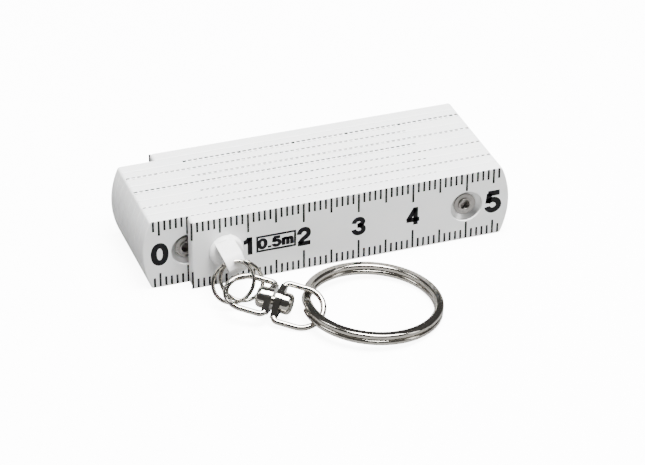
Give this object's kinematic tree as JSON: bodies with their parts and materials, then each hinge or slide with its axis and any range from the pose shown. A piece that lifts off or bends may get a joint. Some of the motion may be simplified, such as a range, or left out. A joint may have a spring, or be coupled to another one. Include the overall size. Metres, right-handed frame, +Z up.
{
  "type": "folding rule",
  "caption": "Mini folding rule in pale plastic, half a metre long when open, folded into a block, with a key lug, split rings and a swivel.",
  "frame": {"origin": "Middle of the lower edge of the front blade, on which the folded rule stands.", "axes": "+X along the blades towards the end with five rivet joints, +Y to the rear blade, +Z up across the blades."},
  "size_m": [0.066, 0.0537, 0.0132],
  "materials": {
    "blade_plastic": "moulded, slight sheen",
    "lug_plastic": "smooth",
    "rivet_steel": "pressed and turned, bright",
    "washer_steel": "pressed, satin",
    "ring_nickel": "nickel plated, polished",
    "swivel_nickel": "nickel plated, polished"
  },
  "bodies": {
    "blade_01_body": {"blade_01": "blade_plastic", "hinge_rivet_1": "rivet_steel", "spring_washer_1": "washer_steel"},
    "blade_02_body": {"blade_02": "blade_plastic", "hinge_rivet_2": "rivet_steel", "spring_washer_2": "washer_steel"},
    "blade_03_body": {"blade_03": "blade_plastic", "hinge_rivet_3": "rivet_steel", "spring_washer_3": "washer_steel"},
    "blade_04_body": {"blade_04": "blade_plastic", "hinge_rivet_4": "rivet_steel", "spring_washer_4": "washer_steel"},
    "blade_05_body": {"blade_05": "blade_plastic", "hinge_rivet_5": "rivet_steel", "spring_washer_5": "washer_steel"},
    "blade_06_body": {"blade_06": "blade_plastic", "hinge_rivet_6": "rivet_steel", "spring_washer_6": "washer_steel"},
    "blade_07_body": {"blade_07": "blade_plastic", "hinge_rivet_7": "rivet_steel", "spring_washer_7": "washer_steel"},
    "blade_08_body": {"blade_08": "blade_plastic", "hinge_rivet_8": "rivet_steel", "spring_washer_8": "washer_steel"},
    "blade_09_body": {"blade_09": "blade_plastic", "hinge_rivet_9": "rivet_steel", "spring_washer_9": "washer_steel"},
    "blade_10_body": {"blade_10": "blade_plastic"},
    "key_lug_body": {"key_lug": "lug_plastic"},
    "small_ring_body": {"small_split_ring": "ring_nickel"},
    "swivel_a_body": {"swivel_eye_a": "swivel_nickel", "swivel_pin": "swivel_nickel"},
    "swivel_b_body": {"swivel_eye_b": "swivel_nickel"},
    "large_ring_body": {"large_split_ring": "ring_nickel"}
  },
  "joints": [
    {"name": "hinge_1", "type": "hinge", "parent": "blade_01_body", "child": "blade_02_body", "pos_m": [0.025, 0.00125, 0.0066], "axis": [0, 1, 0], "range_deg": [0, 180]},
    {"name": "hinge_2", "type": "hinge", "parent": "blade_02_body", "child": "blade_03_body", "pos_m": [-0.025, 0.00375, 0.0066], "axis": [0, -1, 0], "range_deg": [0, 180]},
    {"name": "hinge_3", "type": "hinge", "parent": "blade_03_body", "child": "blade_04_body", "pos_m": [0.025, 0.00625, 0.0066], "axis": [0, 1, 0], "range_deg": [0, 180]},
    {"name": "hinge_4", "type": "hinge", "parent": "blade_04_body", "child": "blade_05_body", "pos_m": [-0.025, 0.00875, 0.0066], "axis": [0, -1, 0], "range_deg": [0, 180]},
    {"name": "hinge_5", "type": "hinge", "parent": "blade_05_body", "child": "blade_06_body", "pos_m": [0.025, 0.01125, 0.0066], "axis": [0, 1, 0], "range_deg": [0, 180]},
    {"name": "hinge_6", "type": "hinge", "parent": "blade_06_body", "child": "blade_07_body", "pos_m": [-0.025, 0.01375, 0.0066], "axis": [0, -1, 0], "range_deg": [0, 180]},
    {"name": "hinge_7", "type": "hinge", "parent": "blade_07_body", "child": "blade_08_body", "pos_m": [0.025, 0.01625, 0.0066], "axis": [0, 1, 0], "range_deg": [0, 180]},
    {"name": "hinge_8", "type": "hinge", "parent": "blade_08_body", "child": "blade_09_body", "pos_m": [-0.025, 0.01875, 0.0066], "axis": [0, -1, 0], "range_deg": [0, 180]},
    {"name": "hinge_9", "type": "hinge", "parent": "blade_09_body", "child": "blade_10_body", "pos_m": [0.025, 0.02125, 0.0066], "axis": [0, 1, 0], "range_deg": [0, 180]},
    {"name": "lug_turn", "type": "hinge", "parent": "blade_01_body", "child": "key_lug_body", "pos_m": [-0.019, -0.00121, 0.0066], "axis": [0, 1, 0], "continuous": true},
    {"name": "small_ring_swing", "type": "hinge", "parent": "key_lug_body", "child": "small_ring_body", "pos_m": [-0.019, -0.00491, 0.0066], "axis": [0.9511, 0, 0.309], "range_deg": [-60, 8]},
    {"name": "swivel_swing", "type": "hinge", "parent": "small_ring_body", "child": "swivel_a_body", "pos_m": [-0.01675, -0.00936, 0.00449], "axis": [-0.2615, -0.3535, -0.8981], "range_deg": [-5, 20]},
    {"name": "swivel_spin", "type": "hinge", "parent": "swivel_a_body", "child": "swivel_b_body", "pos_m": [-0.01454, -0.01371, 0.00316], "axis": [0.8046, -0.576, -0.1444], "continuous": true},
    {"name": "large_ring_swing", "type": "hinge", "parent": "swivel_b_body", "child": "large_ring_body", "pos_m": [-0.00967, -0.01645, 0.00273], "axis": [-0.1425, -0.9898, 0.0038], "range_deg": [-15, 12]}
  ]
}
